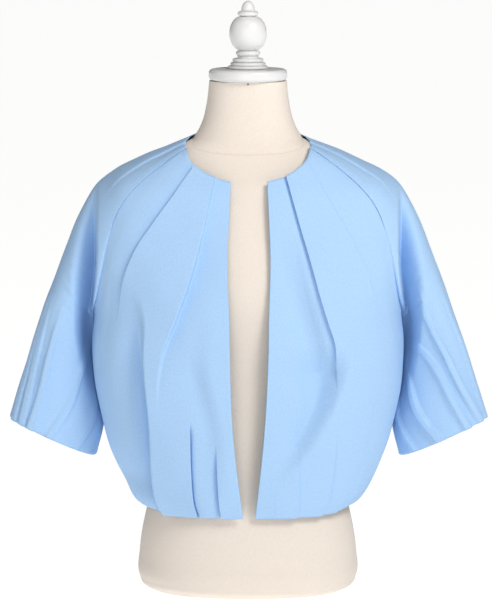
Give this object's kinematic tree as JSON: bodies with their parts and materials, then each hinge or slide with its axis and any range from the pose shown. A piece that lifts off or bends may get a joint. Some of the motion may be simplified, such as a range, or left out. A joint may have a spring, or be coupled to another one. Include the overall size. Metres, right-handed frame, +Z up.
{
  "type": "cropped jacket on a dress form",
  "caption": "Sky-blue cropped open-front jacket with wide raglan elbow sleeves and soft pleats, resting on a limbless linen dress form with a white turned neck cap and finial",
  "frame": {"origin": "on the surface that the form stands on, under the middle of its flat base", "axes": "+Z up, the jacket's front faces -Y, +X is the wearer's left"},
  "size_m": [0.6905, 0.2986, 0.855],
  "materials": {
    "sky_cotton": "closely woven light sky-blue cotton, soft sheen",
    "linen": "natural plain-woven linen drawn over the form",
    "white_paint": "turned wood painted satin white"
  },
  "bodies": {
    "root": {"form_torso": "linen", "neck_cap": "white_paint", "finial": "white_paint", "back": "sky_cotton", "front_right": "sky_cotton", "front_left": "sky_cotton", "sleeve_right": "sky_cotton", "sleeve_left": "sky_cotton"}
  },
  "joints": []
}
